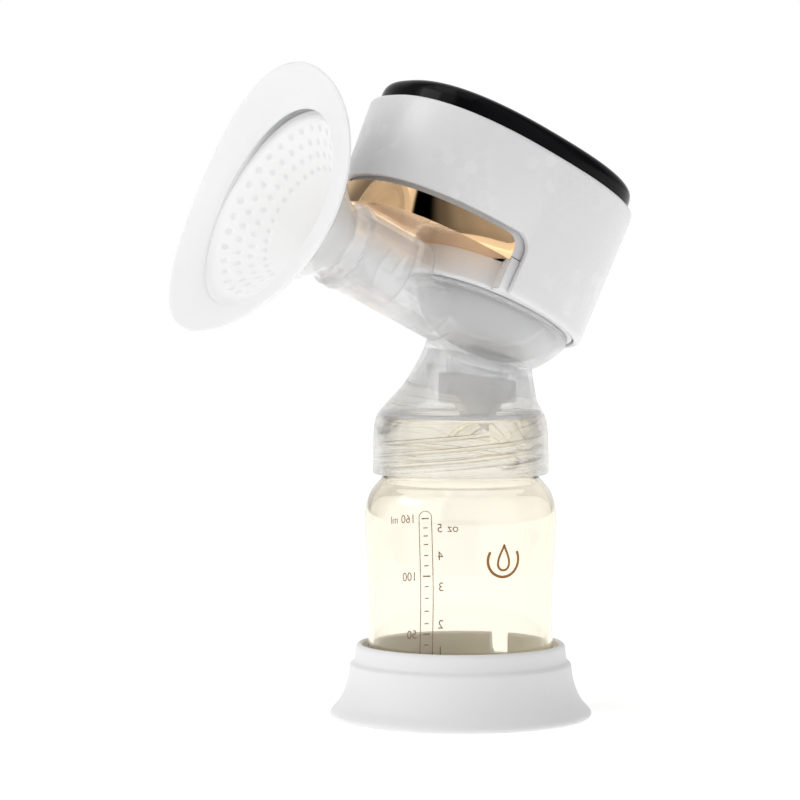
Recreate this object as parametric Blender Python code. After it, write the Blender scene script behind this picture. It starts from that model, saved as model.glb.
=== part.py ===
"""Handheld electric breast pump on its stand: bottle, threaded pump body, silicone shield and motor unit.

Frame: metres, +Z up, origin at the centre of the stand's underside, on the bottle's axis.
The breast shield points towards -X, and XZ is the plane of symmetry.  The pump body's suction
axis leans by TILT, and everything above the bottle neck is laid out in that leaning "head"
frame: its +X runs backwards along the suction axis and its +Z is the motor unit's up.
"""

import math

import bmesh
import bpy
from mathutils import Matrix, Vector

MM = 0.001
GAP = 0.3                       # clearance between neighbouring pieces

# driving dimensions, in millimetres
TILT = math.radians(26)         # lean of the suction axis and of the motor unit
HEAD_Z = 137.0                  # height at which the suction axis crosses the bottle axis
SEGMENTS = 32                   # sides of a large round piece
SMALL_SEGMENTS = 16             # sides of a small round piece

STAND_HEIGHT = 24.9
SOCKET_FLOOR = 7.4
NOTCH_ANGLE = math.radians(33.7)
NOTCH_WIDTH = 7.2
NOTCH_BOTTOM = 17.6
BOTTLE_FOOT = SOCKET_FLOOR + GAP
BOTTLE_WALL = 1.6
NECK_RADIUS = 26.2
NECK_BORE = 24.4
MOUTH_Z = 101.4                 # top of the bottle's rim

THREAD_STARTS = 4
THREAD_LEAD = 15.6              # rise in one full turn
THREAD_DEPTH = 1.2
SKIRT_BOTTOM = 82.3
SKIRT_RADIUS = 29.8
COLLAR_TOP = 100.35             # the threaded collar ends here, and the body above it is its own solid
BODY_WALL = 1.6
SEAL_SEAT = MOUTH_Z + 1.8       # shoulder inside the pump body that the seal bears on

TUBE_RADIUS = 14.0
TUBE_MOUTH = -49.3              # positions along the suction axis, from the bottle axis
TUBE_END = -22.9
BEAD_RADIUS = 14.6
BOWL_X = 9.8                    # the bowl's axis in the head frame
BOWL_RADIUS = 28.6
BOWL_RIM = 3.4                  # heights in the head frame
SPIGOT_X = 6.6                  # world x of the milk outlet
SPIGOT_RADIUS = 10.6
SPIGOT_END = 107.4

SHIELD_INNER_END = -29.6
FUNNEL_RIM = -78.6
FUNNEL_RADIUS = 36.2
BRIM_START = 35.0               # the brim runs from here to its rim
BRIM_RADIUS = 49.3

UNIT_X = -7.7                   # centre of the motor unit's plan at its top
UNIT_HALF_LENGTH = 48.5
UNIT_HALF_WIDTH = 37.0
UNIT_TOP = 53.1
UNIT_BOTTOM = 4.7
UNIT_TAPER = (1.3, -1.0, -2.0)  # how the centre, half length and half width differ at the bottom
UNIT_EXPONENT = 2.5             # 2 is an ellipse, more is squarer
UNIT_WALL = 2.2
RECESS_TOP = 24.3               # the cut-out in the shell's lower front
RECESS_BACK = -5.0
RECESS_CORNER = 6.0
TRIM_BOTTOM = 15.1
TRIM_TOP = 22.5
TRIM_BACK = -9.8
TRIM_CORNER = 4.4
SKIRT_R = 32.0                  # white skirt round the bowl
COVER_BOTTOM = 5.0
COVER_TOP = 14.8
COVER_FLOOR = 7.4
TRAY_FLOOR = 16.6
TRAY_TOP = 26.0
LID_BOTTOM = 51.2
LID_TOP = 61.5
BOARD_BOTTOM = 46.4
BOARD_THICK = 1.6

KEY_RADIUS = 4.5
KEY_PLACES = {"power_key": (25.0, 0.0), "mode_key": (0.0, 0.0),
              "plus_key": (12.5, -11.0), "minus_key": (12.5, 11.0)}
COVER_SCREWS = ((-4.3, -14.1), (-4.3, 14.1), (23.9, -14.1), (23.9, 14.1))
BOARD_SCREWS = ((-31.0, -19.0), (-31.0, 19.0), (28.0, -15.5), (28.0, 15.5))

PUMP_X, PUMP_Z = 8.0, 33.0     # the air pump lies across the unit on this axis
MOTOR_RADIUS = 12.0
PUMP_HEAD_RADIUS = 12.8
HOSE_Y = 14.0
VALVE_X, VALVE_Z = 30.5, 26.0

# colour, metallic, roughness
WHITE = ((0.90, 0.90, 0.90), 0.0, 0.45)
CLEAR = ((0.93, 0.94, 0.95), 0.0, 0.12)
AMBER = ((0.93, 0.84, 0.66), 0.0, 0.10)
SILICONE = ((0.90, 0.90, 0.89), 0.0, 0.55)
GOLD = ((0.86, 0.66, 0.44), 1.0, 0.12)
BLACK = ((0.01, 0.01, 0.012), 0.0, 0.08)
STEEL = ((0.62, 0.62, 0.63), 1.0, 0.35)
BOARD = ((0.05, 0.25, 0.12), 0.0, 0.5)
BLUE = ((0.15, 0.28, 0.55), 0.0, 0.5)
GREY = ((0.35, 0.36, 0.38), 0.0, 0.6)


# ---------------------------------------------------------------- tools
def clear_scene():
    for obj in list(bpy.data.objects):
        bpy.data.objects.remove(obj, do_unlink=True)


def material(name, look):
    """A Principled material of this object's own."""
    colour, metallic, roughness = look
    made = bpy.data.materials.new(name)
    made.use_nodes = True
    shader = made.node_tree.nodes["Principled BSDF"]
    shader.inputs["Base Color"].default_value = (*colour, 1.0)
    shader.inputs["Metallic"].default_value = metallic
    shader.inputs["Roughness"].default_value = roughness
    return made


def empty(name, location, parent=None, turn=0.0):
    """A frame for parenting; `turn` leans it about Y."""
    frame = bpy.data.objects.new(name, None)
    bpy.context.scene.collection.objects.link(frame)
    frame.location = [v * MM for v in location]
    frame.rotation_euler = (0.0, turn, 0.0)
    frame.parent = parent
    return frame


def add(name, built, look, parent=None, location=(0, 0, 0), rotation=(0, 0, 0), smooth=True):
    """Turns a bmesh in millimetres into a named object."""
    bmesh.ops.recalc_face_normals(built, faces=built.faces)
    bmesh.ops.scale(built, vec=(MM, MM, MM), verts=built.verts)
    mesh = bpy.data.meshes.new(name)
    built.to_mesh(mesh)
    built.free()
    if smooth:
        mesh.shade_smooth()
        mesh.set_sharp_from_angle(angle=math.radians(32))
    obj = bpy.data.objects.new(name, mesh)
    bpy.context.scene.collection.objects.link(obj)
    if look:
        mesh.materials.append(material(name, look))
    obj.parent = parent
    obj.location = [v * MM for v in location]
    obj.rotation_euler = rotation
    return obj


def helper(name, built, parent=None, location=(0, 0, 0), rotation=(0, 0, 0)):
    """A solid that only serves a Boolean."""
    obj = add(name, built, None, parent, location, rotation, smooth=False)
    obj.hide_render = True
    obj.display_type = "WIRE"
    return obj


def combine(obj, other, operation):
    modifier = obj.modifiers.new(other.name, "BOOLEAN")
    modifier.operation = operation
    modifier.solver = "EXACT"
    modifier.object = other


def skin(rings, closed=False):
    """A closed mesh through rings of points, capped at both ends, or joined end to end."""
    built = bmesh.new()
    rows = [[built.verts.new(point) for point in ring] for ring in rings]
    pairs = list(zip(rows, rows[1:]))
    if closed:
        pairs.append((rows[-1], rows[0]))
    for low, high in pairs:
        count = len(low)
        for i in range(count):
            j = (i + 1) % count
            built.faces.new((low[i], low[j], high[j], high[i]))
    if not closed:
        built.faces.new(rows[0])
        built.faces.new(rows[-1])
    return built


def circle(radius, z, x=0.0, y=0.0, lean=0.0, segments=SEGMENTS):
    """A circle in a plane that leans by `lean` about Y."""
    ring = []
    for i in range(segments):
        angle = 2 * math.pi * i / segments
        along = radius * math.cos(angle)
        ring.append((x + along * math.cos(lean), y + radius * math.sin(angle),
                     z - along * math.sin(lean)))
    return ring


def turned(profile, closed=False, segments=SEGMENTS):
    """A solid turned about Z from (radius, z) points."""
    return skin([circle(r, z, segments=segments) for r, z in profile], closed)


def rod(radius, z0, z1, x=0.0, y=0.0, segments=SMALL_SEGMENTS):
    return skin([circle(radius, z, x, y, segments=segments) for z in (z0, z1)])


def box(low, high):
    """A box from its lowest corner to its highest."""
    (x0, y0, z0), (x1, y1, z1) = low, high
    return skin([[(x0, y0, z), (x1, y0, z), (x1, y1, z), (x0, y1, z)] for z in (z0, z1)])


def rounded_box(low, high, radius, steps=3):
    """A box whose four upright edges are round."""
    (x0, y0, z0), (x1, y1, z1) = low, high
    corners = ((x1 - radius, y1 - radius, 0), (x0 + radius, y1 - radius, 1),
               (x0 + radius, y0 + radius, 2), (x1 - radius, y0 + radius, 3))
    outline = []
    for x, y, quarter in corners:
        for i in range(steps + 1):
            angle = math.pi / 2 * (quarter + i / steps)
            outline.append((x + radius * math.cos(angle), y + radius * math.sin(angle)))
    return skin([[(x, y, z) for x, y in outline] for z in (z0, z1)])


def merge(parts):
    """Several solids that don't touch, in one mesh."""
    whole = bmesh.new()
    for part in parts:
        piece = bpy.data.meshes.new("piece")
        part.to_mesh(piece)
        part.free()
        whole.from_mesh(piece)
        bpy.data.meshes.remove(piece)
    return whole


def smoothstep(value):
    value = min(1.0, max(0.0, value))
    return value * value * (3 - 2 * value)


# ---------------------------------------------------------------- shapes of the motor unit
def unit_outline(inset, z, segments=48):
    """The motor unit's plan, `inset` inside its outer surface, at height z of the head frame."""
    low = (UNIT_TOP - z) / (UNIT_TOP - UNIT_BOTTOM)
    centre = UNIT_X + UNIT_TAPER[0] * low
    half_length = UNIT_HALF_LENGTH + UNIT_TAPER[1] * low - inset
    half_width = UNIT_HALF_WIDTH + UNIT_TAPER[2] * low - inset
    power = 2 / UNIT_EXPONENT
    ring = []
    for i in range(segments):
        angle = 2 * math.pi * (i + 0.5) / segments
        c, s = math.cos(angle), math.sin(angle)
        ring.append((centre + half_length * math.copysign(abs(c) ** power, c),
                     half_width * math.copysign(abs(s) ** power, s), z))
    return ring


def cover_ring(radius, inset, z, cheek_z=None, segments=64):
    """A ring round the bowl's axis: a circle at the front, the shell's inside further back."""
    shell = [Vector(p[:2]) for p in unit_outline(inset, z, 96)]
    ring = []
    for i in range(segments):
        angle = 2 * math.pi * (i + 0.5) / segments
        ray = Vector((math.cos(angle), math.sin(angle)))
        reach = shell_reach(shell, Vector((BOWL_X, 0.0)), ray)
        back = smoothstep((BOWL_X + reach * ray.x - TRIM_BACK + 1.2) / 2.4)
        away = min(radius, reach) * (1 - back) + reach * back
        height = z if cheek_z is None else z + (cheek_z - z) * back
        ring.append((BOWL_X + away * ray.x, away * ray.y, height))
    return ring


def shell_reach(outline, start, ray):
    """Distance from `start` along `ray` to a closed outline."""
    best = 0.0
    for a, b in zip(outline, outline[1:] + outline[:1]):
        edge = b - a
        across = ray.x * edge.y - ray.y * edge.x
        if abs(across) < 1e-9:
            continue
        offset = a - start
        along = (offset.x * edge.y - offset.y * edge.x) / across
        share = (offset.x * ray.y - offset.y * ray.x) / across
        if along > 0 and -1e-6 <= share <= 1 + 1e-6:
            best = max(best, along)
    return best


def side_slot(x0, x1, z0, z1, corner, steps=5):
    """A slab across the unit, whose upper back edge is round."""
    outline = [(x0, z0), (x1, z0), (x1, z1 - corner)]
    for i in range(1, steps + 1):
        angle = math.pi / 2 * i / steps
        outline.append((x1 - corner + corner * math.cos(angle), z1 - corner + corner * math.sin(angle)))
    outline.append((x0, z1))
    return skin([[(x, y, z) for x, z in outline] for y in (-60.0, 60.0)])


# ---------------------------------------------------------------- stand, bottle, seal
def make_stand():
    profile = [(12.0, 0.0), (12.6, 0.6), (12.6, 4.4), (37.4, 4.4), (40.4, 0.0), (43.7, 0.0),
               (44.3, 1.0), (43.8, 2.4), (41.2, 5.2), (39.0, 9.8), (37.8, 14.4), (37.5, 17.8),
               (36.0, 19.3), (35.5, 23.8), (34.5, STAND_HEIGHT), (33.3, 24.4), (32.9, 23.4),
               (32.6, SOCKET_FLOOR)]
    stand = add("base_stand", turned(profile), WHITE)
    notch = helper("rim_notch", box((30, -NOTCH_WIDTH / 2, NOTCH_BOTTOM), (42, NOTCH_WIDTH / 2, 30)),
                   rotation=(0, 0, NOTCH_ANGLE))
    combine(stand, notch, "DIFFERENCE")
    return stand


def thread(root, tip, start_z, sweep, name):
    """Ridges of a multi-start thread, between the radii `root` and `tip`."""
    steps = max(6, round(math.degrees(sweep) / 11.25))
    half_root, half_tip = 0.80, 0.40
    ridges = []
    for start in range(THREAD_STARTS):
        rings = []
        for i in range(steps + 1):
            turn = sweep * i / steps
            angle = turn + 2 * math.pi * start / THREAD_STARTS
            z = start_z + THREAD_LEAD * turn / (2 * math.pi)
            ease = smoothstep(min(i, steps - i) / 1.5)
            crest = root + (tip - root) * (0.45 + 0.55 * ease)
            corners = ((root, -half_root), (crest, -half_tip), (crest, half_tip), (root, half_root))
            rings.append([(r * math.cos(angle), r * math.sin(angle), z + dz) for r, dz in corners])
        ridges.append(skin(rings))
    return helper(name, merge(ridges))


def make_bottle():
    wall = BOTTLE_WALL
    foot = BOTTLE_FOOT
    outside = [(24.0, foot + 0.9), (27.6, foot), (30.4, foot + 0.8), (31.6, foot + 3.0), (31.8, 15.0),
               (31.3, 27.0), (31.0, 38.0), (31.6, 52.0), (32.5, 63.5), (32.3, 69.5), (31.3, 74.0),
               (29.2, 77.9), (27.0, 79.8), (NECK_RADIUS, 81.2)]
    mouth = [(NECK_RADIUS, MOUTH_Z - 0.7), (NECK_RADIUS - 0.7, MOUTH_Z), (NECK_BORE, MOUTH_Z)]
    inside = [(NECK_BORE, 80.2), (27.4, 76.8), (29.7, 72.9), (30.7, 69.0), (30.9, 63.5)]
    inside += [(r - wall, z) for r, z in outside[7:3:-1]]
    inside += [(29.6, foot + 3.6), (27.6, foot + 1.9), (23.5, foot + 2.4)]
    bottle = add("bottle", turned(outside + mouth + inside), AMBER)
    ridges = thread(NECK_RADIUS - 0.4, NECK_RADIUS + THREAD_DEPTH, 85.4, math.radians(260), "bottle_thread")
    combine(bottle, ridges, "UNION")
    return bottle


def make_seal():
    low, high = MOUTH_Z + GAP, SEAL_SEAT - GAP
    middle = (low + high) / 2
    profile = [(24.6, low), (26.2, low), (26.7, middle), (26.2, high), (24.6, high), (24.2, middle)]
    return add("neck_seal", turned(profile, closed=True), SILICONE)


# ---------------------------------------------------------------- pump body and what it holds
def neck_rings(wall):
    """Leaning circles from the thread skirt up into the bowl, narrowed by `wall`."""
    places = ((0.0, 103.6, 27.3, 0), (1.2, 107.0, 24.8, 1), (3.2, 110.4, 22.6, 4), (5.0, 114.0, 20.9, 9),
              (6.4, 118.0, 19.4, 14), (7.4, 122.0, 18.6, 20), (8.0, 126.0, 18.3, 26))
    return [circle(r - wall, z, x, lean=math.radians(lean)) for x, z, r, lean in places]


def make_collar():
    """The lower end of the pump body, which screws on to the bottle."""
    bore = SKIRT_RADIUS - BODY_WALL
    profile = [(27.2, COLLAR_TOP), (bore, 97.5), (bore, SKIRT_BOTTOM), (SKIRT_RADIUS, SKIRT_BOTTOM),
               (29.5, 97.0), (28.8, COLLAR_TOP)]
    collar = add("threaded_collar", turned(profile, closed=True), CLEAR)
    ridges = thread(bore + 0.4, bore - THREAD_DEPTH, 83.9, math.radians(215), "skirt_thread")
    ridges.rotation_euler = (0, 0, math.radians(360 / THREAD_STARTS / 2) - thread_phase(83.9 - 85.4))
    combine(collar, ridges, "UNION")
    return collar


def make_pump_body(head):
    ceiling = neck_rings(BODY_WALL)[1:5]
    shoulder = [circle(24.2, SEAL_SEAT), circle(26.9, SEAL_SEAT), circle(27.2, COLLAR_TOP + 0.05),
                circle(28.8, COLLAR_TOP + 0.05)]
    body = add("pump_body", skin(ceiling[::-1] + shoulder + neck_rings(0.0)), CLEAR)

    bowl = [(5.0, -16.0), (12.0, -13.9), (17.5, -11.0), (21.7, -7.7), (24.8, -4.3), (27.6, 0.2),
            (BOWL_RADIUS, 1.6), (BOWL_RADIUS, BOWL_RIM)]
    hollow = [(4.5, -14.3), (11.2, -12.2), (16.5, -9.5), (20.5, -6.4), (23.4, -3.3), (26.0, 0.8),
              (26.8, 2.2), (26.8, BOWL_RIM + 3)]
    solids = [helper("bowl_outside", turned(bowl), head, (BOWL_X, 0, 0)), tube_outside(head),
              helper("spigot", rod(SPIGOT_RADIUS, SPIGOT_END, 124.5, SPIGOT_X, segments=24))]
    for solid in solids:
        combine(body, solid, "UNION")
    hollows = [helper("bowl_inside", turned(hollow), head, (BOWL_X, 0, 0)), tube_inside(head),
               helper("outlet", rod(SPIGOT_RADIUS - 1.6, SPIGOT_END - 2, 123.0, SPIGOT_X, segments=24))]
    for hole in hollows:
        combine(body, hole, "DIFFERENCE")
    return body


def thread_phase(rise):
    """The turn that a thread needs for this rise."""
    return -2 * math.pi * rise / THREAD_LEAD


def tube_outside(head):
    """The inlet tube with its bead; past its end only its lower half runs on into the bowl."""
    profile = [(BEAD_RADIUS - 0.5, TUBE_MOUTH), (BEAD_RADIUS, TUBE_MOUTH + 0.5),
               (BEAD_RADIUS, TUBE_MOUTH + 2.0), (TUBE_RADIUS, TUBE_MOUTH + 2.8), (TUBE_RADIUS, -6.0)]
    tube = helper("tube_outside", turned(profile), head, rotation=(0, math.pi / 2, 0))
    step = helper("tube_step", box((TUBE_END, -20, BOWL_RIM - 0.6), (20, 20, 30)), head)
    combine(tube, step, "DIFFERENCE")
    return tube


def tube_inside(head):
    bore = helper("tube_inside", turned([(TUBE_RADIUS - BODY_WALL, z) for z in (TUBE_MOUTH - 2, -9.0)]), head,
                  rotation=(0, math.pi / 2, 0))
    step = helper("bore_step", box((TUBE_END - BODY_WALL, -20, BOWL_RIM - 2.4), (20, 20, 30)), head)
    combine(bore, step, "DIFFERENCE")
    return bore


def make_duckbill():
    """A silicone cap on the outlet, ending below in two flat lips."""
    inner = SPIGOT_RADIUS + GAP
    floor = SPIGOT_END - GAP

    def lips(half_long, half_wide, z, segments=24):
        return [(SPIGOT_X + half_wide * math.cos(2 * math.pi * i / segments),
                 half_long * math.sin(2 * math.pi * i / segments), z) for i in range(segments)]

    top = math.radians(8)
    rings = [circle(inner, 114.7, SPIGOT_X, lean=top, segments=24), lips(inner, inner, floor),
             lips(7.4, 7.4, floor - 0.2), lips(6.6, 0.25, 95.8), lips(7.4, 0.95, 95.4), lips(8.4, 8.4, floor - 1.6),
             lips(13.2, 13.2, floor - 1.2), circle(13.2, 114.7, SPIGOT_X, lean=top, segments=24)]
    return add("duckbill_valve", skin(rings, closed=True), SILICONE)


def make_diaphragm(head):
    low = BOWL_RIM + GAP
    profile = [(6.0, -9.8), (14.0, -8.2), (18.6, -5.8), (22.0, -2.6), (24.4, 1.2), (25.2, low),
               (BOWL_RADIUS, low), (BOWL_RADIUS, low + 1.0), (26.0, low + 1.0), (23.0, 0.6), (20.8, -2.2),
               (17.6, -4.9), (13.4, -7.0), (6.0, -8.4)]
    return add("diaphragm", turned(profile, segments=24), SILICONE, head, (BOWL_X, 0, 0))


# ---------------------------------------------------------------- breast shield
def make_shield(shield_axis):
    """The clear funnel, its collar and the neck that plugs into the tube."""
    neck = TUBE_RADIUS - BODY_WALL - GAP
    outside = [(neck, SHIELD_INNER_END), (neck, TUBE_MOUTH - GAP), (BEAD_RADIUS, TUBE_MOUTH - GAP),
               (BEAD_RADIUS, -52.3), (13.3, -53.4), (13.8, -56.6), (16.6, -60.8), (22.2, -66.4),
               (29.2, -72.8), (34.3, -76.9), (FUNNEL_RADIUS, FUNNEL_RIM)]
    inside = [(34.5, FUNNEL_RIM), (33.0, -77.2), (27.9, -73.3), (20.9, -67.2), (15.2, -61.4), (12.3, -56.6),
              (10.7, -52.6), (10.7, SHIELD_INNER_END)]
    return add("breast_shield", turned(outside + inside, closed=True), CLEAR, shield_axis,
               rotation=(0, math.pi / 2, 0))


def bend_brim(vert):
    """Moves a point of the brim: its top and bottom reach forward, the top further, and it hangs a little low."""
    radius = math.hypot(vert.co.x, vert.co.y)
    share = (radius - BRIM_START) / (BRIM_RADIUS - BRIM_START)
    up = -vert.co.x / radius
    vert.co.z -= (2.0 + 5.0 * share) * up ** 2 + (1.0 + 1.6 * share) * up
    vert.co.x += 1.25 + 0.25 * share + 1.85 * share * up
    vert.co.y *= 1 + 0.9 * share / radius


def make_cushion(shield_axis):
    """Silicone liner inside the funnel, with a soft brim round its mouth."""
    liner = [(10.3, -53.4), (9.0, -53.4), (9.9, -56.9), (13.5, -61.9), (19.3, -68.0), (26.3, -74.4),
             (31.2, -78.2), (33.4, -79.6), (34.7, -80.0)]
    brim = [(BRIM_START, -80.3), (36.5, -80.9), (40.0, -81.7), (44.5, -82.7), (48.3, -83.8),
            (BRIM_RADIUS, -83.4), (48.9, -82.7), (44.0, -81.0), (39.3, -79.5)]
    rear = [(37.9, -77.7), (36.6, -77.4), (36.6, FUNNEL_RIM - 0.35), (34.1, FUNNEL_RIM - 0.35), (32.6, -77.3),
            (27.5, -73.7), (20.5, -67.5), (14.8, -61.7), (11.9, -56.9)]
    built = turned(liner + brim + rear, closed=True)
    built.verts.ensure_lookup_table()
    for vert in built.verts[len(liner) * SEGMENTS:(len(liner) + len(brim)) * SEGMENTS]:
        bend_brim(vert)
    return add("massage_cushion", built, SILICONE, shield_axis, rotation=(0, math.pi / 2, 0))


# ---------------------------------------------------------------- motor unit: casing
def make_housing(head):
    wall = UNIT_WALL
    rings = [unit_outline(wall, UNIT_BOTTOM + 0.6), unit_outline(1.6, UNIT_BOTTOM), unit_outline(0.5, UNIT_BOTTOM + 0.8),
             unit_outline(0.0, UNIT_BOTTOM + 2.6), unit_outline(0.0, UNIT_TOP - 1.6),
             unit_outline(0.5, UNIT_TOP - 0.4), unit_outline(1.4, UNIT_TOP), unit_outline(wall, UNIT_TOP - 0.4),
             unit_outline(wall, LID_BOTTOM - GAP), unit_outline(wall + 1.8, LID_BOTTOM - GAP),
             unit_outline(wall + 1.8, LID_BOTTOM - 1.5), unit_outline(wall, LID_BOTTOM - 3.4)]
    shell = add("housing_shell", skin(rings, closed=True), WHITE, head)
    recess = side_slot(-90.0, RECESS_BACK, -5.0, RECESS_TOP, RECESS_CORNER)
    combine(shell, helper("recess_cutter", recess, head), "DIFFERENCE")
    socket = rounded_box((-2.0, -4.9, 0.0), (2.0, 4.9, 20.0), 1.9)
    combine(shell, helper("usb_cutter", socket, head, (30.0, 0, 44.4), (0, math.pi / 2, 0)), "DIFFERENCE")
    return shell


def make_trim(head):
    """Mirror band round the front, with a ledge underneath that reaches in over the tube."""
    outer = [unit_outline(1.0, TRIM_BOTTOM), unit_outline(1.0, TRIM_TOP)]
    trim = add("gold_trim", skin(outer), GOLD, head)
    inner = [unit_outline(2.5, TRIM_BOTTOM + 1.2), unit_outline(2.5, TRIM_TOP + 4)]
    combine(trim, helper("trim_inside", skin(inner), head), "DIFFERENCE")
    ring = turned([(SKIRT_R - 2.2, 0.0), (SKIRT_R - 2.2, 40.0)])
    combine(trim, helper("trim_hole", ring, head, (BOWL_X, 0, 0)), "DIFFERENCE")
    slot = side_slot(-90.0, TRIM_BACK, 0.0, TRIM_TOP, TRIM_CORNER)
    combine(trim, helper("trim_slot", slot, head), "INTERSECT")
    return trim


def make_cover(head):
    """White skirt and floor over the bowl, with the suction port and four screw holes."""
    inset = UNIT_WALL + 0.4
    wall = 1.6
    cheek = TRAY_FLOOR - GAP
    rings = [cover_ring(SKIRT_R - 0.8, inset + 0.8, COVER_BOTTOM), cover_ring(SKIRT_R, inset, COVER_BOTTOM + 0.8),
             cover_ring(SKIRT_R, inset, COVER_TOP, cheek), cover_ring(SKIRT_R - wall, inset + wall, COVER_TOP, cheek),
             cover_ring(SKIRT_R - wall, inset + wall, COVER_FLOOR)]
    cover = add("bottom_cover", skin(rings), WHITE, head)
    holes = [rod(1.5, 0.0, 20.0, x, y, 12) for x, y in COVER_SCREWS]
    holes.append(rod(1.9, 0.0, 20.0, PUMP_X, HOSE_Y, 12))
    combine(cover, helper("cover_holes", merge(holes), head), "DIFFERENCE")
    pockets = merge([rod(2.8, 0.0, COVER_BOTTOM + 1.6, x, y, 12) for x, y in COVER_SCREWS])
    combine(cover, helper("cover_pockets", pockets, head), "DIFFERENCE")
    return cover


def make_tray(head):
    """Inner frame: floor, wall, bosses for the cover's screws and posts for the board's."""
    inset = UNIT_WALL + 0.6
    rings = [unit_outline(inset, TRAY_FLOOR), unit_outline(inset, TRAY_TOP), unit_outline(inset + 1.4, TRAY_TOP),
             unit_outline(inset + 1.4, TRAY_FLOOR + 1.6)]
    tray = add("internal_frame", skin(rings), WHITE, head)
    bosses = [rod(3.0, COVER_FLOOR + GAP, TRAY_FLOOR + 0.8, x, y, 12) for x, y in COVER_SCREWS]
    posts = [rod(2.4, TRAY_FLOOR + 0.8, BOARD_BOTTOM - GAP, x, y, 12) for x, y in BOARD_SCREWS]
    combine(tray, helper("tray_posts", merge(bosses + posts), head), "UNION")
    holes = [rod(1.3, 0.0, TRAY_FLOOR - 2.0, x, y, 12) for x, y in COVER_SCREWS]
    holes += [rod(1.1, BOARD_BOTTOM - 8.0, BOARD_BOTTOM + 9.0, x, y, 12) for x, y in BOARD_SCREWS]
    holes.append(rod(3.6, 0.0, TRAY_FLOOR + 9.0, PUMP_X, HOSE_Y, 12))
    combine(tray, helper("tray_holes", merge(holes), head), "DIFFERENCE")
    return tray


def make_lid(head):
    """Crowned glossy panel, hollow underneath, with a hole for each key."""
    edge = UNIT_WALL + GAP
    steps = ((0.0, LID_BOTTOM), (0.0, 56.0), (0.3, 58.2), (1.4, 59.9), (3.6, 60.9), (8.0, 61.3), (23.0, LID_TOP))
    outer = [unit_outline(edge + inset, z) for inset, z in steps]
    hollow = ((23.0, LID_TOP - 1.8), (8.0, 59.5), (3.8, 58.9), (2.1, 57.4), (1.8, LID_BOTTOM))
    inner = [unit_outline(edge + inset, z) for inset, z in hollow]
    lid = add("top_panel", skin(inner + outer), BLACK, head)
    holes = merge([rod(KEY_RADIUS + GAP, 40.0, 70.0, x, y, SMALL_SEGMENTS) for x, y in KEY_PLACES.values()])
    combine(lid, helper("key_holes", holes, head), "DIFFERENCE")
    return lid


def make_keys(head):
    """Each key has its origin on its own line of travel."""
    for name, (x, y) in KEY_PLACES.items():
        profile = [(1.6, 51.5), (1.6, 54.6), (5.9, 54.8), (5.9, 55.8), (KEY_RADIUS, 55.9),
                   (KEY_RADIUS, LID_TOP - 0.3), (KEY_RADIUS - 0.4, LID_TOP + 0.2)]
        add(name, turned([(r, z - 51.5) for r, z in profile], segments=SMALL_SEGMENTS), BLACK, head, (x, y, 51.5))


# ---------------------------------------------------------------- motor unit: inner pieces
def make_board(head):
    board = add("main_board", skin([unit_outline(7.0, z, 32) for z in (BOARD_BOTTOM, BOARD_BOTTOM + BOARD_THICK)]),
                BOARD, head, smooth=False)
    holes = merge([rod(1.3, 40.0, 60.0, x, y, 12) for x, y in BOARD_SCREWS])
    combine(board, helper("board_holes", holes, head), "DIFFERENCE")

    low = BOARD_BOTTOM + BOARD_THICK + GAP
    mat = add("keypad_mat", rounded_box((-6.0, -17.0, low), (31.0, 17.0, low + 1.2), 3.0), GREY, head)
    combine(mat, helper("mat_notches", merge([rod(3.2, 40.0, 60.0, x, y, 12) for x, y in BOARD_SCREWS[2:]]), head),
            "DIFFERENCE")
    domes = merge([turned_at([(3.6, low + 0.6), (3.2, low + 1.8), (2.0, 50.9)], x, y)
                   for x, y in KEY_PLACES.values()])
    combine(mat, helper("mat_domes", domes, head), "UNION")

    add("display_module", rounded_box((-36.0, -11.0, low), (-12.0, 11.0, low + 5.6), 0.8, 2), GREY, head, smooth=False)
    port = rounded_box((-1.6, -4.5, 0.0), (1.6, 4.5, 8.4), 1.5)
    usb = add("usb_port", port, STEEL, head, (30.0, 0, 44.4), (0, math.pi / 2, 0))
    cavity = rounded_box((-1.3, -4.2, 2.0), (1.3, 4.2, 12.0), 1.2)
    combine(usb, helper("usb_cavity", cavity, head, (30.0, 0, 44.4), (0, math.pi / 2, 0)), "DIFFERENCE")
    tongue = box((-0.35, -3.2, 1.0), (0.35, 3.2, 7.4))
    combine(usb, helper("usb_tongue", tongue, head, (30.0, 0, 44.4), (0, math.pi / 2, 0)), "UNION")


def turned_at(profile, x, y):
    built = turned(profile, segments=12)
    bmesh.ops.translate(built, vec=(x, y, 0), verts=built.verts)
    return built


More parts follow.
